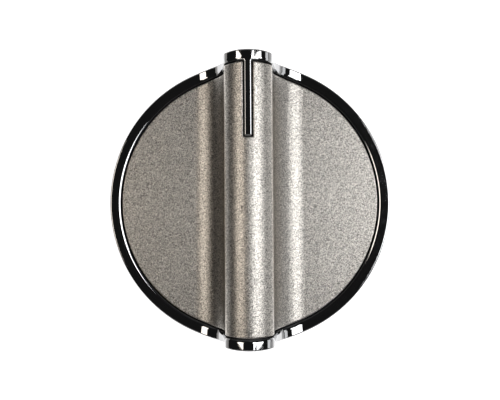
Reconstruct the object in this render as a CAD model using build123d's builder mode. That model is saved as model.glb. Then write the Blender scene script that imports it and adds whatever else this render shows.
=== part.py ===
"""Range knob with a satin face inlaid in a bright body, in millimetres.

The origin is at the middle of the back rim, on the shaft's axis. +Z comes out of the face and +Y points to
the pointer. One swept profile runs through the whole face along Y: flat wings, concave sweeps, straight
grip sides and a round crown. The bright body carries it as a border, and the satin cap as a thin inlay.
"""

import os
from math import cos, radians, sin, tan

from build123d import *

# Overall sizes
skirt_d = 54.0
skirt_h = 13.0
skirt_draft_deg = 0.5
grip_h = 14.0

# The swept profile of the face
grip_foot_w = 9.3
sweep_r = 5.75
side_draft_deg = 1.5
crown_rise = 2.5
crown_edge_r = 1.5

# The bright border, and the satin cap in the pocket inside it
border_w = 2.05
border_outer_r = 0.3
shoulder_r = 1.0
shoulder_back = 0.5
cap_drop = 0.12
cap_t = 0.95
cap_gap = 0.3
cap_seat_gap = 0.05
cap_edge_r = 0.25

# The pointer rib and the slot round it
rib_w = 1.25
rib_gap = 0.25
rib_reach = 13.6
rib_drop = 0.05
rib_root_r = 0.3
rib_end_r = 0.3
rib_edge_r = 0.2
slot_mouth_r = 0.2
slot_end_r = 0.25

# The posts that hold the cap, and their staked heads
post_d = 2.2
post_spacing_x = 31.0
post_spacing_y = 14.0
post_hole_gap = 0.1
stake_d = 4.2
stake_h = 1.0
stake_round_r = 0.7

# Walls and rim of the bright body
skirt_wall = 2.0
web_t = 1.6
rim_outer_r = 0.5
rim_inner_bevel = 0.4

# The collar for the hub and the stays that tie it to the skirt
collar_wall = 1.5
collar_l = 3.85
collar_sink = 1.2
stay_count = 4
stay_start_deg = 45.0
stay_t = 1.2
stay_h = 5.35

# The shaft that the hub fits
shaft_d = 8.0
shaft_flat = 2.5
shaft_fit = 0.05

# The hub
hub_recess = 0.8
hub_wall = 2.45
hub_fit = 0.05
hub_roof_t = 0.95
flange_lip = 2.0
flange_t = 1.5
flange_edge_r = 0.4
flange_gap = 0.3
sleeve_step = 0.3
pilot_gap = 0.4
pilot_depth = 3.6
mouth_bevel = 0.4
slit_w = 1.0
slit_depth = 3.4
blade_inset = 1.0
blade_gap = 0.15
blade_top_gap = 4.35
blade_edge_r = 0.5

# The leaf spring in the socket
spring_t = 0.35
spring_w = 4.0
spring_pocket_depth = 0.9
spring_pocket_gap = 0.1
spring_end_wall = 0.4

# The wire ring round the sleeve
wire_d = 1.0
wire_sink = 0.35
wire_fit = 0.03
wire_inset = 1.6
wire_open_deg = 24.0

# How far cutting shapes run past what they cut
overrun = 1.0

# Radii and widths worked out from the sizes above
skirt_r = skirt_d / 2
inner_r = skirt_r - skirt_wall
face_reach = skirt_r + overrun
pocket_r = skirt_r - border_w
cap_r = pocket_r - cap_gap
slot_w = rib_w + 2 * rib_gap
socket_r = shaft_d / 2 + shaft_fit
pilot_r = shaft_d / 2 + pilot_gap
plug_r = socket_r + hub_wall
flange_r = plug_r + flange_lip
sleeve_r = plug_r - sleeve_step
collar_inner_r = plug_r + hub_fit
collar_outer_r = collar_inner_r + collar_wall
wire_ring_r = sleeve_r + wire_d / 2 - wire_sink

# Places worked out from the sizes above
grip_top_z = skirt_h + grip_h
sweep_x = grip_foot_w / 2 + sweep_r
sweep_z = skirt_h + sweep_r
under_inset = cap_drop + cap_t
seat_inset = under_inset + cap_seat_gap
web_inset = seat_inset + web_t
web_under_z = skirt_h - web_inset
collar_z = web_under_z - collar_l
collar_top_z = web_under_z + collar_sink
stay_z = web_under_z - stay_h
slot_y = cap_r - rib_reach
rib_end_y = slot_y + rib_gap
rib_root_y = pocket_r + border_w / 2
rib_foot_z = grip_top_z - seat_inset - web_t / 2
hub_top_z = web_under_z
blade_top_z = grip_top_z - web_inset - blade_top_gap
flat_y = -(shaft_flat + shaft_fit)
flat_bottom_z = hub_recess + pilot_depth
flat_top_z = hub_top_z - hub_roof_t
spring_z = (flat_bottom_z + flat_top_z) / 2
spring_l = flat_top_z - flat_bottom_z - 2 * spring_end_wall
wire_z = hub_recess + wire_inset


def sweep_foot(inset):
    """The point where the sweep runs into the grip's side, on the profile moved inwards by an inset."""
    arc_r = sweep_r + inset
    lean = radians(side_draft_deg)
    return sweep_x - arc_r * cos(lean), sweep_z - arc_r * sin(lean)


def grip_half_width(z, inset):
    """Half the grip's width at a height, on the profile moved inwards by an inset."""
    foot_x, foot_z = sweep_foot(inset)
    return foot_x - (z - foot_z) * tan(radians(side_draft_deg))


crown_edge_x = grip_half_width(grip_top_z - crown_rise, 0)
crown_r = (crown_edge_x**2 + crown_rise**2) / (2 * crown_rise)
crown_z = grip_top_z - crown_r


def swept_block(inset, edge_r=0):
    """The solid under the face profile, moved inwards by an inset, with the crown's edges sharp or rounded."""
    level_z = skirt_h - inset
    cut_z = grip_top_z + overrun
    side_angle = 180 + side_draft_deg
    with BuildPart() as block:
        with BuildSketch(Plane.XZ.offset(-face_reach)):
            with BuildLine():
                Polyline((0, -overrun), (face_reach, -overrun), (face_reach, level_z), (sweep_x, level_z))
                CenterArc((sweep_x, sweep_z), sweep_r + inset, side_angle, 270 - side_angle)
                Polyline(sweep_foot(inset), (grip_half_width(cut_z, inset), cut_z), (0, cut_z))
                mirror(about=Plane.YZ)
            make_face()
            with BuildSketch(mode=Mode.INTERSECT):
                with Locations((0, crown_z)):
                    Circle(crown_r - inset)
                    Rectangle(2 * face_reach, crown_z + 2 * overrun, align=(Align.CENTER, Align.MAX))
        extrude(amount=2 * face_reach)
        if edge_r:
            fillet(block.edges().filter_by(Axis.Y).group_by(Axis.Z)[-1], edge_r)
    return block.part


def outline_edges(edges, floor, depth):
    """The edges that an outline leaves on the face: more than a depth off the floor, but no sweep line."""
    on_face = edges.filter_by(lambda edge: floor.distance_to(edge.center()) > depth)
    sweep_lines = on_face.filter_by(Axis.Y).filter_by(lambda edge: abs(edge.center().X) > slot_w)
    return on_face - sweep_lines


os.makedirs("parts", exist_ok=True)

show_block = swept_block(0, crown_edge_r)
rib_block = swept_block(rib_drop, crown_edge_r - rib_drop)
cap_block = swept_block(cap_drop, crown_edge_r - cap_drop)
cap_under_block = swept_block(under_inset)
seat_block = swept_block(seat_inset)
web_block = swept_block(web_inset)

# The blank that the skirt and the grip's ends are cut from
with BuildPart() as blank:
    with BuildSketch():
        Circle(skirt_r + skirt_h * tan(radians(skirt_draft_deg)))
    extrude(amount=grip_top_z + overrun, taper=skirt_draft_deg)

# The border: a ring up to the show face, with the upper part of a broad round as its shoulder to the pocket
with BuildPart() as border:
    add(blank.part)
    add(show_block, mode=Mode.INTERSECT)
    fillet(outline_edges(border.edges(), seat_block, cap_t), border_outer_r)
    with BuildSketch():
        Circle(pocket_r - shoulder_back)
    extrude(amount=grip_top_z + overrun, mode=Mode.SUBTRACT)
    fillet(outline_edges(border.edges(Select.NEW), seat_block, cap_t), shoulder_r)
    with BuildSketch():
        Circle(pocket_r)
    extrude(amount=grip_top_z + overrun, mode=Mode.SUBTRACT)

# The pointer rib: a bar from the web up to the face, with rounded edges and its root flared into the border
with BuildPart() as rib:
    with BuildSketch(Plane.XY.offset(rib_foot_z)) as rib_plan:
        Circle(rib_root_y)
        Circle(pocket_r, mode=Mode.SUBTRACT)
        with Locations((0, rib_end_y)):
            Rectangle(rib_w, pocket_r - rib_end_y, align=(Align.CENTER, Align.MIN))
            Rectangle(3 * rib_w, skirt_r, align=(Align.CENTER, Align.MIN), mode=Mode.INTERSECT)
        fillet(rib_plan.vertices().group_by(Axis.Y)[0], rib_end_r)
        bar_corners = rib_plan.vertices().filter_by_position(Axis.X, -rib_w / 2, rib_w / 2)
        fillet(bar_corners.sort_by(Axis.Y)[-2:], rib_root_r)
    extrude(amount=grip_top_z - rib_foot_z)
    add(rib_block, mode=Mode.INTERSECT)
    rib_top = rib.faces().filter_by(GeomType.CYLINDER).sort_by(SortBy.AREA)[-1]
    fillet(rib_top.edges().filter_by_position(Axis.Y, 0, pocket_r - rib_root_r), rib_edge_r)

# The hollow behind the face
with BuildPart() as hollow:
    with BuildSketch(Plane.XY.offset(-overrun)):
        Circle(inner_r)
    extrude(amount=grip_top_z + overrun)
    add(web_block, mode=Mode.INTERSECT)

# The collar for the hub and the stays that tie it to the skirt
with BuildPart() as backing:
    with BuildSketch(Plane.XY.offset(collar_z)):
        Circle(collar_outer_r)
    extrude(amount=collar_top_z - collar_z)
    with BuildSketch(Plane.XY.offset(stay_z)):
        with PolarLocations(0, stay_count, start_angle=stay_start_deg):
            Rectangle(inner_r + skirt_wall / 2, stay_t, align=(Align.MIN, Align.CENTER))
    extrude(amount=collar_top_z - stay_z)
    with BuildSketch(Plane.XY.offset(stay_z - overrun)):
        Circle(collar_inner_r)
    extrude(amount=grip_top_z, mode=Mode.SUBTRACT)
    with BuildSketch(Plane.XY.offset(stay_z - overrun)):
        Circle(flange_r + flange_gap)
    extrude(amount=collar_z - stay_z + overrun, mode=Mode.SUBTRACT)
    add(seat_block, mode=Mode.INTERSECT)

# The bright body
with BuildPart() as chrome_body:
    add(blank.part)
    add(seat_block, mode=Mode.INTERSECT)
    add(border.part)
    add(rib.part)
    add(hollow.part, mode=Mode.SUBTRACT)
    add(backing.part)
    with BuildSketch(Plane.XY.offset(web_under_z - overrun)):
        with GridLocations(post_spacing_x, post_spacing_y, 2, 2):
            Circle(post_d / 2 + post_hole_gap)
    extrude(amount=web_t + 2 * overrun, mode=Mode.SUBTRACT)
    rim_edges = chrome_body.edges().group_by(Axis.Z)[0].sort_by(SortBy.RADIUS)
    fillet(rim_edges[-1], rim_outer_r)
    chamfer(rim_edges[0], rim_inner_bevel)

chrome_body.part.label = "chrome_body"
export_step(chrome_body.part, "parts/chrome_body.step")

# The satin cap, with its posts staked over behind the web
with BuildPart() as satin_cap:
    with BuildSketch() as cap_plan:
        Circle(cap_r)
        with Locations((0, slot_y)):
            Rectangle(slot_w, skirt_r, align=(Align.CENTER, Align.MIN), mode=Mode.SUBTRACT)
        fillet(cap_plan.vertices().group_by(Axis.Y)[-1], slot_mouth_r)
        slot_corners = cap_plan.vertices().filter_by_position(Axis.Y, slot_y - rib_gap, slot_y + rib_gap)
        fillet(slot_corners, slot_end_r)
    extrude(amount=grip_top_z + overrun)
    add(cap_block, mode=Mode.INTERSECT)
    add(cap_under_block, mode=Mode.SUBTRACT)
    fillet(outline_edges(satin_cap.edges(), cap_under_block, cap_t - cap_seat_gap), cap_edge_r)
    with BuildSketch(Plane.XY.offset(web_under_z - stake_h)):
        with GridLocations(post_spacing_x, post_spacing_y, 2, 2):
            Circle(stake_d / 2)
    extrude(amount=stake_h)
    fillet(satin_cap.edges().group_by(Axis.Z)[0], stake_round_r)
    with BuildSketch(Plane.XY.offset(web_under_z)):
        with GridLocations(post_spacing_x, post_spacing_y, 2, 2):
            Circle(post_d / 2)
    extrude(amount=skirt_h - under_inset - web_under_z)

satin_cap.part.label = "satin_cap"
export_step(satin_cap.part, "parts/satin_cap.step")

# The hub, with a slit sleeve at its mouth and a blade that turns the grip
with BuildPart() as shaft_hub:
    with BuildSketch(Plane.XY.offset(hub_recess)):
        Circle(sleeve_r)
    extrude(amount=collar_z - hub_recess)
    with BuildSketch(Plane.XY.offset(collar_z)):
        Circle(plug_r)
    extrude(amount=hub_top_z - collar_z)
    with BuildSketch(Plane.XY.offset(hub_top_z)) as blade_plan:
        Rectangle(2 * (grip_half_width(blade_top_z, web_inset) - blade_gap), 2 * (plug_r - blade_inset))
        fillet(blade_plan.vertices(), blade_edge_r)
    extrude(amount=blade_top_z - hub_top_z)
    with BuildSketch(Plane.XY.offset(collar_z - flange_t)):
        Circle(flange_r)
    extrude(amount=flange_t)
    fillet(shaft_hub.edges().filter_by(GeomType.CIRCLE).sort_by(SortBy.RADIUS)[-2:], flange_edge_r)
    with BuildSketch(Plane.XY.offset(hub_recess)) as socket_plan:
        Circle(socket_r)
        with Locations((0, flat_y)):
            Rectangle(shaft_d, shaft_d, align=(Align.CENTER, Align.MAX), mode=Mode.SUBTRACT)
    extrude(amount=flat_top_z - hub_recess, mode=Mode.SUBTRACT)
    with BuildSketch(Plane.XY.offset(hub_recess)):
        Circle(pilot_r)
    extrude(amount=pilot_depth, mode=Mode.SUBTRACT)
    mouth = shaft_hub.edges().group_by(Axis.Z)[0].sort_by(SortBy.RADIUS)[0]
    chamfer(mouth, mouth_bevel)
    with BuildSketch(Plane.XY.offset(hub_recess)):
        Rectangle(2 * sleeve_r + overrun, slit_w)
    extrude(amount=slit_depth, mode=Mode.SUBTRACT)
    with BuildSketch(Plane.XZ):
        with Locations((wire_ring_r, wire_z)):
            Circle(wire_d / 2 + wire_fit)
    revolve(axis=Axis.Z, mode=Mode.SUBTRACT)
    with BuildSketch(Plane.XZ.offset(-flat_y)):
        with Locations((0, spring_z)):
            Rectangle(spring_w + 2 * spring_pocket_gap, spring_l + 2 * spring_pocket_gap)
    extrude(amount=spring_pocket_depth, mode=Mode.SUBTRACT)

shaft_hub.part.label = "shaft_hub"
export_step(shaft_hub.part, "parts/shaft_hub.step")

# The leaf spring, bowed out of its pocket to the flat of the shaft
with BuildPart() as shaft_spring:
    back_y = flat_y - spring_pocket_depth
    low_z = spring_z - spring_l / 2
    high_z = spring_z + spring_l / 2
    with BuildSketch(Plane.YZ):
        with BuildLine():
            ThreePointArc((back_y, low_z), (-shaft_flat - spring_t, spring_z), (back_y, high_z))
            Line((back_y, high_z), (back_y + spring_t, high_z))
            ThreePointArc((back_y + spring_t, high_z), (-shaft_flat, spring_z), (back_y + spring_t, low_z))
            Line((back_y + spring_t, low_z), (back_y, low_z))
        make_face()
    extrude(amount=spring_w / 2, both=True)

shaft_spring.part.label = "shaft_spring"
export_step(shaft_spring.part, "parts/shaft_spring.step")

# The wire ring, sprung into the groove of the sleeve
with BuildPart() as hub_ring:
    with BuildSketch(Plane.XZ.rotated((0, 0, wire_open_deg / 2))):
        with Locations((wire_ring_r, wire_z)):
            Circle(wire_d / 2)
    revolve(axis=Axis.Z, revolution_arc=360 - wire_open_deg)
hub_ring.part.label = "hub_ring"
export_step(hub_ring.part, "parts/hub_ring.step")
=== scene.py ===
"""Range knob with a satin face inlaid in a bright body.

The solids get their finishes, the spring steel is made anew, and a studio and a camera are set up round the
knob. All lengths are in metres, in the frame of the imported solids: the back rim lies on the floor, +Z comes
out of the face and +Y points to the pointer.
"""

import logging
import math
from dataclasses import dataclass, field
from enum import Enum

import bpy
from mathutils import Matrix, Vector


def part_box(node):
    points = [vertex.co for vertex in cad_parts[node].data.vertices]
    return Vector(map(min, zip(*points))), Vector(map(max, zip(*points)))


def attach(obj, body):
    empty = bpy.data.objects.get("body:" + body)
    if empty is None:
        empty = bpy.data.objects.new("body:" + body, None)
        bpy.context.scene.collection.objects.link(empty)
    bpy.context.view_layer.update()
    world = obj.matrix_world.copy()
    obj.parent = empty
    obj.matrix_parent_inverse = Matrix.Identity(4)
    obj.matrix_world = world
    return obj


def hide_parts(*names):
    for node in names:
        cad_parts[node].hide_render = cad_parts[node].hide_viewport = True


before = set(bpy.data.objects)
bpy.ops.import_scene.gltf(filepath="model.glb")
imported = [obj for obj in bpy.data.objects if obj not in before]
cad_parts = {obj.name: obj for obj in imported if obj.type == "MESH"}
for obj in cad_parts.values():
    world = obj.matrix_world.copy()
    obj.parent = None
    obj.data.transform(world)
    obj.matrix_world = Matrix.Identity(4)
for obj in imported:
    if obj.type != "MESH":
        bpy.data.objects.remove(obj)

LOG = logging.getLogger("range_knob")
MM = 0.001
BODY = "root"
DRAWN_POINT = "drawn_point"

# Where a Mix node keeps its factor and its colours
MIX_FACTOR, MIX_FIRST, MIX_SECOND, MIX_RESULT = 0, 6, 7, 2

# Most of a noise texture's values lie between these two
NOISE_LOW, NOISE_HIGH = 0.3, 0.7

# What a Principled shader calls a metal and a plastic
METAL, PLASTIC = 1.0, 0.0

Colour = tuple[float, float, float]
Place = tuple[float, float, float]
Setting = bpy.types.NodeSocket | bpy.types.Material | float | int | bool | str

WHITE: Colour = (1.0, 1.0, 1.0)
COOL_WHITE: Colour = (0.975, 0.987, 0.992)
WARM_WHITE: Colour = (1.0, 0.92, 0.82)


class Slot(Enum):
    """The record's material slot of the spring steel."""

    SPRING = "spring_steel"


class Side(Enum):
    """The side of the knob that a softbox hangs on, as the sign of its X."""

    LEFT = -1.0
    RIGHT = 1.0


class Ramp(Enum):
    """How a value runs from one end of a range to the other."""

    STRAIGHT = "LINEAR"
    SOFT = "SMOOTHSTEP"


class MaterialTree:
    """A node material under construction."""

    def __init__(self, name: str) -> None:
        """Start an empty material with an output.

        Args:
            name: the material's name.
        """
        self.material = bpy.data.materials.new(name)
        self.material.use_nodes = True
        self.tree = self.material.node_tree
        self.tree.nodes.clear()
        self.output = self.add("ShaderNodeOutputMaterial")

    def add(self, kind: str, **settings: object) -> bpy.types.Node:
        """Add a node.

        Args:
            kind: the node's type name.
            settings: properties of the node to set.

        Returns:
            The new node.
        """
        node = self.tree.nodes.new(kind)
        for key, value in settings.items():
            setattr(node, key, value)
        return node

    def link(self, source: bpy.types.NodeSocket, target: bpy.types.NodeSocket) -> None:
        """Join an output socket to an input socket."""
        self.tree.links.new(source, target)

    def object_point(self) -> bpy.types.NodeSocket:
        """Give the socket of the piece's own Object coordinates."""
        return self.add("ShaderNodeTexCoord").outputs["Object"]

    def attribute_point(self, name: str) -> bpy.types.NodeSocket:
        """Give the socket of a point that the piece's mesh carries by name."""
        return self.add("ShaderNodeAttribute", attribute_name=name).outputs["Vector"]

    def noise(self, point: bpy.types.NodeSocket, scale: float, detail: float) -> bpy.types.NodeSocket:
        """Add a noise texture.

        Args:
            point: where the noise is read.
            scale: how many grains there are in a metre.
            detail: how many finer layers are added.

        Returns:
            The noise value, from 0 to 1.
        """
        node = self.add("ShaderNodeTexNoise")
        node.inputs["Scale"].default_value = scale
        node.inputs["Detail"].default_value = detail
        self.link(point, node.inputs["Vector"])
        return node.outputs["Fac"]

    def flecks(self, point: bpy.types.NodeSocket, scale: float) -> bpy.types.NodeSocket:
        """Add small cells, each with a random value of its own.

        Args:
            point: where the cells are read.
            scale: how many cells there are in a metre.

        Returns:
            The cell's value, from 0 to 1.
        """
        cells = self.add("ShaderNodeTexVoronoi")
        cells.inputs["Scale"].default_value = scale
        self.link(point, cells.inputs["Vector"])
        parts = self.add("ShaderNodeSeparateColor")
        self.link(cells.outputs["Color"], parts.inputs["Color"])
        return parts.outputs["Red"]

    def spread(self, value: bpy.types.NodeSocket, low: float, high: float) -> bpy.types.NodeSocket:
        """Map the middle of a noise value to a range from low to high."""
        return self.ramp(value, Ramp.STRAIGHT, (NOISE_LOW, NOISE_HIGH), (low, high))

    def ramp(
        self,
        value: bpy.types.NodeSocket,
        kind: Ramp,
        source: tuple[float, float],
        result: tuple[float, float],
    ) -> bpy.types.NodeSocket:
        """Map a value from one range to another, and hold it at the ends.

        Args:
            value: the value.
            kind: how it runs between the ends.
            source: where the value's range starts and ends.
            result: what it becomes at the start and at the end.

        Returns:
            The mapped value.
        """
        node = self.add("ShaderNodeMapRange", interpolation_type=kind.value)
        for name, setting in zip(("From Min", "From Max", "To Min", "To Max"), (*source, *result)):
            node.inputs[name].default_value = setting
        self.link(value, node.inputs["Value"])
        return node.outputs["Result"]

    def axes(self, point: bpy.types.NodeSocket) -> bpy.types.NodeOutputs:
        """Take a point apart.

        Args:
            point: the point.

        Returns:
            The sockets of its X, Y and Z.
        """
        node = self.add("ShaderNodeSeparateXYZ")
        self.link(point, node.inputs["Vector"])
        return node.outputs

    def reach(self, point: bpy.types.NodeSocket) -> bpy.types.NodeSocket:
        """Measure how far a point lies from the origin.

        Args:
            point: the point.

        Returns:
            Its distance.
        """
        node = self.add("ShaderNodeVectorMath", operation="LENGTH")
        self.link(point, node.inputs["Vector"])
        return node.outputs["Value"]

    def bump(self, height: bpy.types.NodeSocket, depth: float, strength: float) -> bpy.types.NodeSocket:
        """Turn a height into a bumped normal.

        Args:
            height: the height, from 0 to 1.
            depth: the height's size in metres.
            strength: how much of the bump shows.

        Returns:
            The bumped normal.
        """
        node = self.add("ShaderNodeBump")
        node.inputs["Strength"].default_value = strength
        node.inputs["Distance"].default_value = depth
        self.link(height, node.inputs["Height"])
        return node.outputs["Normal"]

    def tint(self, value: bpy.types.NodeSocket, dark: Colour, light: Colour) -> bpy.types.NodeSocket:
        """Blend two colours by a value.

        Args:
            value: the blend, from 0 to 1.
            dark: the colour at 0.
            light: the colour at 1.

        Returns:
            The blended colour.
        """
        node = self.add("ShaderNodeMix", data_type="RGBA")
        node.inputs[MIX_FIRST].default_value = (*dark, 1.0)
        node.inputs[MIX_SECOND].default_value = (*light, 1.0)
        self.link(value, node.inputs[MIX_FACTOR])
        return node.outputs[MIX_RESULT]

    def choose(
        self, mask: bpy.types.NodeSocket, off: bpy.types.NodeSocket, on: bpy.types.NodeSocket
    ) -> bpy.types.NodeSocket:
        """Go from one colour or value to another by a mask.

        Args:
            mask: from 0 to 1.
            off: what is taken at 0.
            on: what is taken at 1.

        Returns:
            The socket of what was taken.
        """
        node = self.add("ShaderNodeMix", data_type="RGBA")
        self.link(mask, node.inputs[MIX_FACTOR])
        self.link(off, node.inputs[MIX_FIRST])
        self.link(on, node.inputs[MIX_SECOND])
        return node.outputs[MIX_RESULT]

    def math(
        self, operation: str, first: bpy.types.NodeSocket | float, second: bpy.types.NodeSocket | float
    ) -> bpy.types.NodeSocket:
        """Join two numbers by a Math node's operation.

        Args:
            operation: the Math node's operation.
            first: its first number.
            second: its second number.

        Returns:
            The result's socket.
        """
        node = self.add("ShaderNodeMath", operation=operation)
        for socket, value in zip(node.inputs, (first, second)):
            if isinstance(value, bpy.types.NodeSocket):
                self.link(value, socket)
            else:
                socket.default_value = value
        return node.outputs["Value"]

    def principled(self, metallic: float) -> bpy.types.Node:
        """Add a Principled shader on the output.

        Args:
            metallic: METAL or PLASTIC.

        Returns:
            The shader node.
        """
        shader = self.add("ShaderNodeBsdfPrincipled")
        shader.inputs["Metallic"].default_value = metallic
        self.link(shader.outputs["BSDF"], self.output.inputs["Surface"])
        return shader


@dataclass(frozen=True)
class BlackMoulding:
    """Black moulded plastic with a fine spark-eroded grain."""

    colour_dark: Colour = (0.012, 0.012, 0.013)
    colour_light: Colour = (0.03, 0.03, 0.031)
    grain_scale: float = 2600.0
    grain_detail: float = 3.0
    rough_low: float = 0.42
    rough_high: float = 0.6
    grain_depth: float = 0.015 * MM
    grain_strength: float = 0.3

    def material(self) -> bpy.types.Material:
        """Build the material.

        Returns:
            The finished material.
        """
        tree = MaterialTree("black_moulding_finish")
        shader = tree.principled(PLASTIC)
        grain = tree.noise(tree.object_point(), self.grain_scale, self.grain_detail)
        tree.link(tree.tint(grain, self.colour_dark, self.colour_light), shader.inputs["Base Color"])
        tree.link(tree.spread(grain, self.rough_low, self.rough_high), shader.inputs["Roughness"])
        tree.link(tree.bump(grain, self.grain_depth, self.grain_strength), shader.inputs["Normal"])
        return tree.material


@dataclass(frozen=True)
class BrightPlating:
    """Bright plating with a faint waviness and haze, dull in the hollow, and with painted shade on the cap's
    seat: black moulding colour there keeps the gaps round the cap and the rib dark.
    """

    colour_dark: Colour = (0.50, 0.50, 0.51)
    colour_light: Colour = (0.58, 0.58, 0.585)
    haze_low: float = 0.02
    haze_high: float = 0.06
    haze_scale: float = 900.0
    haze_detail: float = 3.0
    wave_scale: float = 160.0
    wave_detail: float = 1.0
    wave_depth: float = 0.01 * MM
    wave_strength: float = 0.06
    dull_low: float = 0.22
    dull_high: float = 0.34
    pocket_reach: float = 25.02 * MM
    hollow_top: float = 11.7 * MM
    gap_shade_top: float = 26.3 * MM
    # Black moulding colour painted on the seat as painted shade, so the gaps round the cap and the rib show
    # dark
    gap_shade_moulding: BlackMoulding = BlackMoulding()

    def material(self) -> bpy.types.Material:
        """Build the material.

        Returns:
            The finished material.
        """
        tree = MaterialTree("bright_plating_finish")
        point = tree.object_point()
        shader = tree.principled(METAL)
        hollow, seat = self.hollow_and_gap_shade_masks(tree, point)
        haze = tree.noise(point, self.haze_scale, self.haze_detail)
        grain = tree.noise(point, self.gap_shade_moulding.grain_scale, self.gap_shade_moulding.grain_detail)
        plated_colour = tree.tint(haze, self.colour_dark, self.colour_light)
        # Painted shade: black moulding colour for the seat, so the gaps round the cap and the rib look dark
        gap_shade_colour = tree.tint(grain, self.gap_shade_moulding.colour_dark, self.gap_shade_moulding.colour_light)
        bright_rough = tree.spread(haze, self.haze_low, self.haze_high)
        dull_rough = tree.spread(haze, self.dull_low, self.dull_high)
        gap_shade_rough = tree.spread(grain, self.gap_shade_moulding.rough_low, self.gap_shade_moulding.rough_high)
        plated_rough = tree.choose(hollow, bright_rough, dull_rough)
        wave = tree.noise(point, self.wave_scale, self.wave_detail)
        # Painted shade: the seat takes the black, non-metal moulding in place of the plating
        tree.link(tree.choose(seat, plated_colour, gap_shade_colour), shader.inputs["Base Color"])
        tree.link(tree.choose(seat, plated_rough, gap_shade_rough), shader.inputs["Roughness"])
        tree.link(tree.math("SUBTRACT", METAL, seat), shader.inputs["Metallic"])
        tree.link(tree.bump(wave, self.wave_depth, self.wave_strength), shader.inputs["Normal"])
        return tree.material

    def hollow_and_gap_shade_masks(
        self, tree: MaterialTree, point: bpy.types.NodeSocket
    ) -> tuple[bpy.types.NodeSocket, bpy.types.NodeSocket]:
        """Mark what lies inside the pocket's wall: the hollow behind, and the seat below the rib's top, where
        shade is painted so the gaps round the cap and the rib show dark.

        Args:
            tree: the material under construction.
            point: the piece's Object coordinates.

        Returns:
            The hollow's mask and the seat's painted-shade mask, each 1 there and 0 elsewhere.
        """
        axes = tree.axes(point)
        flat = tree.add("ShaderNodeCombineXYZ")
        tree.link(axes["X"], flat.inputs["X"])
        tree.link(axes["Y"], flat.inputs["Y"])
        inside = tree.math("LESS_THAN", tree.reach(flat.outputs["Vector"]), self.pocket_reach)
        behind = tree.math("LESS_THAN", axes["Z"], self.hollow_top)
        below_top = tree.math("LESS_THAN", axes["Z"], self.gap_shade_top)
        hollow = tree.math("MULTIPLY", inside, behind)
        # Painted shade mask: the seat inside the pocket, between the hollow's top and the rib's top
        seat = tree.math("MULTIPLY", inside, tree.math("SUBTRACT", below_top, behind))
        return hollow, seat


@dataclass(frozen=True)
class SatinPlating:
    """Satin plating: a warm pale metal with a fine blasted grain that sparkles, and one small nick."""

    colour_dark: Colour = (0.18, 0.1685, 0.1555)
    colour_light: Colour = (0.86, 0.8135, 0.7545)
    fleck_scale: float = 7400.0
    grain_scale: float = 6500.0
    grain_detail: float = 2.0
    rough_low: float = 0.27
    rough_high: float = 0.33
    grain_depth: float = 0.05 * MM
    grain_strength: float = 1.0
    nick_dark: Colour = (0.02, 0.019, 0.018)
    nick_light: Colour = (0.08, 0.075, 0.07)
    nick_place: Place = (-1.2 * MM, -1.5 * MM, 26.75 * MM)
    nick_reach: Place = (0.16 * MM, 0.5 * MM, 0.5 * MM)
    nick_core_share: float = 0.6

    def material(self) -> bpy.types.Material:
        """Build the material.

        Returns:
            The finished material.
        """
        tree = MaterialTree("satin_plating_finish")
        shader = tree.principled(METAL)
        point = tree.object_point()
        grain = tree.noise(point, self.grain_scale, self.grain_detail)
        flecks = tree.flecks(point, self.fleck_scale)
        clean = tree.tint(flecks, self.colour_dark, self.colour_light)
        marked = tree.tint(flecks, self.nick_dark, self.nick_light)
        tree.link(tree.choose(self.nick_mask(tree, point), clean, marked), shader.inputs["Base Color"])
        tree.link(tree.spread(grain, self.rough_low, self.rough_high), shader.inputs["Roughness"])
        tree.link(tree.bump(grain, self.grain_depth, self.grain_strength), shader.inputs["Normal"])
        return tree.material

    def nick_mask(self, tree: MaterialTree, point: bpy.types.NodeSocket) -> bpy.types.NodeSocket:
        """Mark the small nick on the crown, a little left of its middle.

        Args:
            tree: the material under construction.
            point: the piece's Object coordinates.

        Returns:
            The nick's mask, 1 in its core and 0 outside its reach.
        """
        local = tree.add("ShaderNodeMapping", vector_type="TEXTURE")
        local.inputs["Location"].default_value = self.nick_place
        local.inputs["Scale"].default_value = self.nick_reach
        tree.link(point, local.inputs["Vector"])
        reach_share = tree.reach(local.outputs["Vector"])
        return tree.ramp(reach_share, Ramp.SOFT, (self.nick_core_share, 1.0), (1.0, 0.0))


@dataclass(frozen=True)
class SpringSteel:
    """Drawn spring steel with faint lines along it, which follow the point that each piece carries."""

    colour_dark: Colour = (0.36, 0.36, 0.37)
    colour_light: Colour = (0.60, 0.60, 0.61)
    line_scale: float = 9000.0
    line_detail: float = 2.0
    rough_low: float = 0.22
    rough_high: float = 0.38
    line_depth: float = 0.006 * MM
    line_strength: float = 0.25

    def material(self) -> bpy.types.Material:
        """Build the material.

        Returns:
            The finished material.
        """
        tree = MaterialTree("spring_steel_finish")
        shader = tree.principled(METAL)
        lines = tree.noise(tree.attribute_point(DRAWN_POINT), self.line_scale, self.line_detail)
        tree.link(tree.tint(lines, self.colour_dark, self.colour_light), shader.inputs["Base Color"])
        tree.link(tree.spread(lines, self.rough_low, self.rough_high), shader.inputs["Roughness"])
        tree.link(tree.bump(lines, self.line_depth, self.line_strength), shader.inputs["Normal"])
        return tree.material


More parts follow.
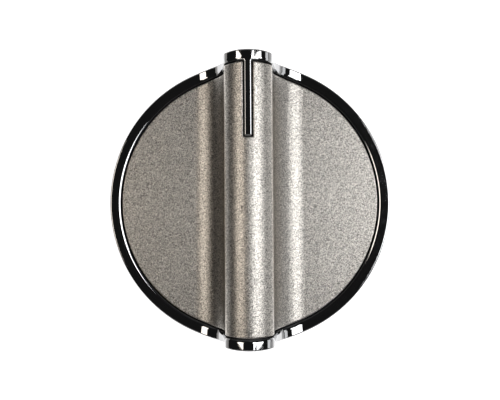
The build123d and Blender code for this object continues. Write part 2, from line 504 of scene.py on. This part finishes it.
class ShapeTree:
    """A Geometry Nodes tree under construction, with named inputs for its sizes."""

    sharp_deg: float = 35.0
    line_share: float = 0.04

    def __init__(self, name: str) -> None:
        """Start an empty tree.

        Args:
            name: the tree's name.
        """
        self.group = bpy.data.node_groups.new(name, "GeometryNodeTree")
        self.group.is_modifier = True
        self.group.interface.new_socket("Geometry", in_out="OUTPUT", socket_type="NodeSocketGeometry")
        self.entry = self.group.nodes.new("NodeGroupInput")
        self.exit = self.group.nodes.new("NodeGroupOutput")
        self.sizes: dict[str, float] = {}

    def size(self, name: str, value: float) -> bpy.types.NodeSocket:
        """Add a named size to the tree's inputs.

        Args:
            name: the input's name.
            value: what the piece sets it to.

        Returns:
            The socket that gives the size inside the tree.
        """
        socket = self.group.interface.new_socket(name, in_out="INPUT", socket_type="NodeSocketFloat")
        self.sizes[socket.identifier] = value
        return self.entry.outputs[name]

    def add(self, kind: str, inputs: dict[str | int, Setting], **settings: object) -> bpy.types.Node:
        """Add a node.

        Args:
            kind: the node's type name.
            inputs: the sockets or values of its inputs.
            settings: properties of the node to set.

        Returns:
            The new node.
        """
        node = self.group.nodes.new(kind)
        for key, value in settings.items():
            setattr(node, key, value)
        for key, value in inputs.items():
            if isinstance(value, bpy.types.NodeSocket):
                self.group.links.new(value, node.inputs[key])
            else:
                node.inputs[key].default_value = value
        return node

    def math(self, operation: str, first: Setting, second: Setting) -> bpy.types.NodeSocket:
        """Join two numbers by a Math node's operation."""
        return self.add("ShaderNodeMath", {0: first, 1: second}, operation=operation).outputs["Value"]

    def point(self, **sizes: Setting) -> bpy.types.NodeSocket:
        """Join up to three sizes, X, Y and Z, in a point."""
        return self.add("ShaderNodeCombineXYZ", sizes).outputs["Vector"]

    def capture(
        self, curve: bpy.types.NodeSocket, kind: str, value: bpy.types.NodeSocket
    ) -> tuple[bpy.types.NodeSocket, bpy.types.NodeSocket]:
        """Keep a value on a curve's points.

        Args:
            curve: the curve.
            kind: the value's type name.
            value: the value.

        Returns:
            The curve, and the kept value.
        """
        node = self.add("GeometryNodeCaptureAttribute", {"Geometry": curve})
        node.capture_items.new(kind, "kept")
        self.group.links.new(value, node.inputs["kept"])
        return node.outputs["Geometry"], node.outputs["kept"]

    def draw(
        self, path: bpy.types.NodeSocket, profile: bpy.types.NodeSocket, scale: Setting
    ) -> bpy.types.NodeSocket:
        """Draw a profile along a path, and keep each point's place in the profile and along the path.

        Args:
            path: the path's curve.
            profile: the profile's curve.
            scale: the profile's size along the path.

        Returns:
            The drawn mesh, smooth, with its drawn point.
        """
        length = self.add("GeometryNodeSplineParameter", {}).outputs["Length"]
        place = self.add("GeometryNodeInputPosition", {}).outputs["Position"]
        path, along = self.capture(path, "FLOAT", length)
        profile, across = self.capture(profile, "VECTOR", place)
        mesh = self.add(
            "GeometryNodeCurveToMesh",
            {"Curve": path, "Profile Curve": profile, "Scale": scale, "Fill Caps": True},
        )
        parts = self.add("ShaderNodeSeparateXYZ", {"Vector": across})
        drawn = self.point(
            X=parts.outputs["X"], Y=parts.outputs["Y"], Z=self.math("MULTIPLY", along, self.line_share)
        )
        smooth = self.add("GeometryNodeSetShadeSmooth", {"Geometry": mesh.outputs["Mesh"]})
        store = self.add(
            "GeometryNodeStoreNamedAttribute",
            {"Geometry": smooth.outputs["Geometry"], "Name": DRAWN_POINT, "Value": drawn},
            data_type="FLOAT_VECTOR",
        )
        return store.outputs["Geometry"]

    def piece(
        self, name: str, geometry: bpy.types.NodeSocket, material: bpy.types.Material
    ) -> bpy.types.Object:
        """Run the finished tree and keep its result as a plain mesh.

        Args:
            name: the piece's name.
            geometry: what the tree makes.
            material: the piece's finish.

        Returns:
            The piece, at the origin.
        """
        real = self.add("GeometryNodeRealizeInstances", {"Geometry": geometry})
        coat = self.add(
            "GeometryNodeSetMaterial", {"Geometry": real.outputs["Geometry"], "Material": material}
        )
        self.group.links.new(coat.outputs["Geometry"], self.exit.inputs["Geometry"])
        piece = bpy.data.objects.new(name, bpy.data.meshes.new(name))
        bpy.context.scene.collection.objects.link(piece)
        modifier = piece.modifiers.new("shape", "NODES")
        modifier.node_group = self.group
        for identifier, value in self.sizes.items():
            modifier[identifier] = value
        evaluated = piece.evaluated_get(bpy.context.evaluated_depsgraph_get())
        mesh = bpy.data.meshes.new_from_object(evaluated)
        piece.modifiers.remove(modifier)
        mesh.set_sharp_from_angle(angle=math.radians(self.sharp_deg))
        piece.data = mesh
        return piece


def dress(node: str, material: bpy.types.Material) -> None:
    """Give a solid of the frame its finish."""
    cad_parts[node].material_slots[0].material = material
    LOG.info("dressed %s", node)


@dataclass
class Face:
    """The front of the knob: the bright body, and the satin cap in its pocket."""

    body_node: str = "chrome_body"
    cap_node: str = "satin_cap"
    plating: BrightPlating = BrightPlating()
    satin: SatinPlating = SatinPlating()

    def build(self) -> None:
        """Dress the body and the cap."""
        dress(self.body_node, self.plating.material())
        dress(self.cap_node, self.satin.material())


@dataclass
class ShaftFit:
    """The back of the knob: the black hub that takes the shaft, its leaf spring and its wire ring."""

    hub_node: str = "shaft_hub"
    ring_node: str = "hub_ring"
    leaf_node: str = "shaft_spring"
    moulding: BlackMoulding = BlackMoulding()
    steel: SpringSteel = SpringSteel()
    ring_open_deg: float = 24.0
    ring_steps: int = 180
    wire_sides: int = 20
    cut_length: float = 0.15 * MM
    cut_share: float = 0.72
    leaf_thickness: float = 0.35 * MM
    leaf_edge: float = 0.08 * MM
    leaf_steps: int = 40
    leaf_edge_steps: int = 3

    def build(self) -> None:
        """Dress the hub, and make the two pieces of spring steel on it."""
        dress(self.hub_node, self.moulding.material())
        steel = self.steel.material()
        self.seat(self.make_ring(steel), self.ring_node)
        self.seat(self.make_leaf(steel), self.leaf_node)

    def seat(self, piece: bpy.types.Object, node: str) -> None:
        """Let a piece of spring steel stand for its solid.

        Args:
            piece: the piece.
            node: the solid that it replaces.
        """
        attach(piece, BODY)
        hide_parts(node)
        LOG.info("made %s with %d faces", piece.name, len(piece.data.polygons))

    def make_ring(self, steel: bpy.types.Material) -> bpy.types.Object:
        """Bend the wire ring round the sleeve, open to the right, with its cut ends dressed.

        Args:
            steel: its finish.

        Returns:
            The ring.
        """
        low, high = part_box(self.ring_node)
        wire_r = (high.z - low.z) / 2
        ring_r = (high.y - low.y) / 2 - wire_r
        gap = math.radians(self.ring_open_deg)
        tree = ShapeTree("wire_ring")
        height = tree.size("Height", (low.z + high.z) / 2)
        radius = tree.size("Ring radius", ring_r)
        start = tree.size("Start angle", gap / 2)
        turn = tree.size("Turn", math.tau - gap)
        wire = tree.size("Wire radius", wire_r)
        cut = tree.size("Cut length", self.cut_length)
        arc = tree.add(
            "GeometryNodeCurveArc",
            {"Resolution": self.ring_steps, "Radius": radius, "Start Angle": start, "Sweep Angle": turn},
        )
        path = tree.add(
            "GeometryNodeTransform", {"Geometry": arc.outputs["Curve"], "Translation": tree.point(Z=height)}
        )
        profile = tree.add(
            "GeometryNodeCurvePrimitiveCircle", {"Resolution": self.wire_sides, "Radius": wire}
        )
        along = tree.add("GeometryNodeSplineParameter", {}).outputs["Length"]
        whole = tree.math("MULTIPLY", radius, turn)
        from_end = tree.math("MINIMUM", along, tree.math("SUBTRACT", whole, along))
        taper = tree.add(
            "ShaderNodeMapRange",
            {"Value": from_end, "From Max": cut, "To Min": self.cut_share, "To Max": 1.0},
        )
        wire_mesh = tree.draw(path.outputs["Geometry"], profile.outputs["Curve"], taper.outputs["Result"])
        return tree.piece("wire_ring", wire_mesh, steel)

    def make_leaf(self, steel: bpy.types.Material) -> bpy.types.Object:
        """Bow the leaf spring out of its pocket to the flat of the shaft, with its edges rounded.

        Args:
            steel: its finish.

        Returns:
            The leaf spring.
        """
        low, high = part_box(self.leaf_node)
        half = self.leaf_thickness / 2
        tree = ShapeTree("leaf_spring")
        width = tree.size("Width", high.x - low.x)
        thickness = tree.size("Thickness", self.leaf_thickness)
        edge = tree.size("Edge radius", self.leaf_edge)
        back = tree.size("Back", low.y + half)
        front = tree.size("Front", high.y - half)
        foot = tree.size("Foot", low.z + half)
        middle = tree.size("Middle", (low.z + high.z) / 2)
        head = tree.size("Head", high.z - half)
        bow = tree.add(
            "GeometryNodeCurveArc",
            {
                "Resolution": self.leaf_steps,
                "Start": tree.point(Y=back, Z=foot),
                "Middle": tree.point(Y=front, Z=middle),
                "End": tree.point(Y=back, Z=head),
            },
            mode="POINTS",
        )
        strip = tree.add("GeometryNodeCurvePrimitiveQuadrilateral", {"Width": width, "Height": thickness})
        rounded = tree.add(
            "GeometryNodeFilletCurve",
            {"Curve": strip.outputs["Curve"], "Count": self.leaf_edge_steps, "Radius": edge},
            mode="POLY",
        )
        leaf_mesh = tree.draw(bow.outputs["Curve"], rounded.outputs["Curve"], 1.0)
        return tree.piece("leaf_spring", leaf_mesh, steel)


@dataclass(frozen=True)
class Softbox:
    """A softbox that hangs beside the knob and is aimed at it.

    Its tilt is the angle from straight above to its middle, and its lean brings it towards the pointer. Its
    width across runs towards and away from straight above, and its length along runs with the pointer.
    """

    name: str
    side: Side
    tilt_deg: float
    lean_deg: float
    across: float
    along: float
    radiance: float
    colour: Colour
    distance: float = 0.5

    def build(self, target: Vector) -> None:
        """Hang the softbox.

        Args:
            target: the point that it is aimed at.
        """
        tilt = math.radians(self.tilt_deg)
        lean = math.radians(self.lean_deg)
        out = Vector((self.side.value * math.sin(tilt), math.tan(lean), math.cos(tilt))).normalized()
        lamp = bpy.data.lights.new(self.name, "AREA")
        lamp.shape = "RECTANGLE"
        lamp.size = self.along
        lamp.size_y = self.across
        lamp.color = self.colour
        # An even lamp gives off its radiance times its area times pi
        lamp.energy = self.radiance * math.pi * self.across * self.along
        holder = bpy.data.objects.new(self.name, lamp)
        holder.location = target + self.distance * out
        holder.rotation_euler = (-out).to_track_quat("-Z", "Y").to_euler()
        holder.visible_camera = False
        bpy.context.scene.collection.objects.link(holder)
        LOG.info("hung %s", self.name)


def plain_softboxes() -> tuple[Softbox, ...]:
    """Set up the softboxes that light the knob: three cool ones on the right and a warm one on the left.

    Returns:
        The softboxes.
    """
    return (
        Softbox(
            name="softbox_upper_right", side=Side.RIGHT, tilt_deg=19.5, lean_deg=2.5,
            across=0.105, along=0.22, radiance=5.0, colour=COOL_WHITE,
        ),
        Softbox(
            name="softbox_right", side=Side.RIGHT, tilt_deg=40.0, lean_deg=2.5,
            across=0.25, along=0.22, radiance=3.9, colour=COOL_WHITE,
        ),
        Softbox(
            name="softbox_low_right", side=Side.RIGHT, tilt_deg=81.0, lean_deg=0.0,
            across=0.123, along=0.34, radiance=1.0, colour=COOL_WHITE,
        ),
        Softbox(
            name="softbox_left", side=Side.LEFT, tilt_deg=36.0, lean_deg=2.5,
            across=0.194, along=0.22, radiance=3.2, colour=WARM_WHITE,
        ),
    )


@dataclass
class Studio:
    """The pale floor, the dark tent with its softboxes, and the camera over the knob."""

    softboxes: tuple[Softbox, ...] = field(default_factory=plain_softboxes)
    light_target: Place = (0.0, 0.0, 20.0 * MM)
    floor_size: float = 3.0
    floor_colour: Colour = (0.85, 0.85, 0.85)
    floor_glow: float = 0.92
    far_glow: float = 0.05
    white_reach: float = 66.0 * MM
    fade_reach: float = 95.0 * MM
    tent_radius: float = 1.2
    tent_segments: int = 48
    tent_rings: int = 24
    tent_glow: float = 0.012
    wall_glow: float = 0.6
    wall_start_share: float = 0.45
    focal_px: float = 876.8
    image_width_px: float = 500.0
    sensor_mm: float = 36.0
    camera_place: Place = (2.3 * MM, -6.8 * MM, 181.87 * MM)
    camera_roll_deg: float = 0.394
    camera_aim: Place = (0.25 * MM, -0.19 * MM, 27.0 * MM)
    camera_clip: float = 10.0 * MM

    def build(self) -> None:
        """Set up the whole studio."""
        self.lay_floor()
        self.pitch_tent()
        self.light_world()
        for softbox in self.softboxes:
            softbox.build(Vector(self.light_target))
        self.place_camera()

    def lay_floor(self) -> None:
        """Lay the pale floor, which shows white to the camera but keeps the knob's shadow."""
        mesh = bpy.data.meshes.new("floor")
        half = self.floor_size / 2
        rim = [(-half, -half, 0.0), (half, -half, 0.0), (half, half, 0.0), (-half, half, 0.0)]
        mesh.from_pydata(rim, [], [range(len(rim))])
        mesh.materials.append(self.floor_paint())
        floor = bpy.data.objects.new("floor", mesh)
        bpy.context.scene.collection.objects.link(floor)

    def floor_paint(self) -> bpy.types.Material:
        """Mix the floor's paint: pale, and glowing white to the camera and, round the knob, to the plating.

        Returns:
            The floor's material.
        """
        tree = MaterialTree("pale_floor")
        paint = tree.add("ShaderNodeBsdfDiffuse")
        paint.inputs["Color"].default_value = (*self.floor_colour, 1.0)
        fading = tree.ramp(
            tree.reach(tree.object_point()),
            Ramp.SOFT,
            (self.white_reach, self.fade_reach),
            (self.floor_glow, self.far_glow),
        )
        rays = tree.add("ShaderNodeLightPath").outputs
        mirrored = tree.math("MAXIMUM", rays["Is Glossy Ray"], rays["Is Transmission Ray"])
        seen = tree.math("MULTIPLY", rays["Is Camera Ray"], self.floor_glow)
        strength = tree.math("MAXIMUM", seen, tree.math("MULTIPLY", mirrored, fading))
        glow = tree.add("ShaderNodeEmission")
        tree.link(strength, glow.inputs["Strength"])
        both = tree.add("ShaderNodeAddShader")
        tree.link(paint.outputs["BSDF"], both.inputs[0])
        tree.link(glow.outputs["Emission"], both.inputs[1])
        tree.link(both.outputs["Shader"], tree.output.inputs["Surface"])
        return tree.material

    def pitch_tent(self) -> None:
        """Pitch the dark tent that the plating mirrors, paler before and behind, unseen by the camera."""
        bpy.ops.mesh.primitive_uv_sphere_add(
            segments=self.tent_segments, ring_count=self.tent_rings, radius=self.tent_radius
        )
        tent = bpy.context.object
        tent.name = "tent"
        tree = MaterialTree("tent_cloth")
        y = tree.axes(tree.object_point())["Y"]
        depth = tree.math("MAXIMUM", y, tree.math("SUBTRACT", 0.0, y))
        wall_start = self.wall_start_share * self.tent_radius
        walls = tree.ramp(
            depth, Ramp.SOFT, (wall_start, self.tent_radius), (self.tent_glow, self.wall_glow)
        )
        glow = tree.add("ShaderNodeEmission")
        tree.link(walls, glow.inputs["Strength"])
        tree.link(glow.outputs["Emission"], tree.output.inputs["Surface"])
        tent.data.materials.append(tree.material)
        tent.visible_camera = False

    def light_world(self) -> None:
        """Make the world outside the tent plain white."""
        world = bpy.data.worlds.new("studio")
        world.use_nodes = True
        world.node_tree.nodes["Background"].inputs["Color"].default_value = (*WHITE, 1.0)
        bpy.context.scene.world = world

    def place_camera(self) -> None:
        """Hang the camera over the knob."""
        camera = bpy.data.cameras.new("camera")
        camera.sensor_width = self.sensor_mm
        camera.lens = self.focal_px * self.sensor_mm / self.image_width_px
        camera.clip_start = self.camera_clip
        holder = bpy.data.objects.new("camera", camera)
        holder.location = self.camera_place
        back = (holder.location - Vector(self.camera_aim)).normalized()
        roll = math.radians(self.camera_roll_deg)
        right = Vector((math.sin(roll), math.cos(roll), 0.0)).cross(back).normalized()
        holder.rotation_euler = Matrix((right, back.cross(right), back)).transposed().to_euler()
        bpy.context.scene.collection.objects.link(holder)
        bpy.context.scene.camera = holder


def main() -> None:
    """Dress the knob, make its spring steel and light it."""
    logging.basicConfig(level=logging.INFO, format="%(name)s: %(message)s")
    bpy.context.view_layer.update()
    Face().build()
    ShaftFit().build()
    Studio().build()
    bpy.context.scene.view_settings.view_transform = "Standard"


if __name__ == "__main__":
    main()
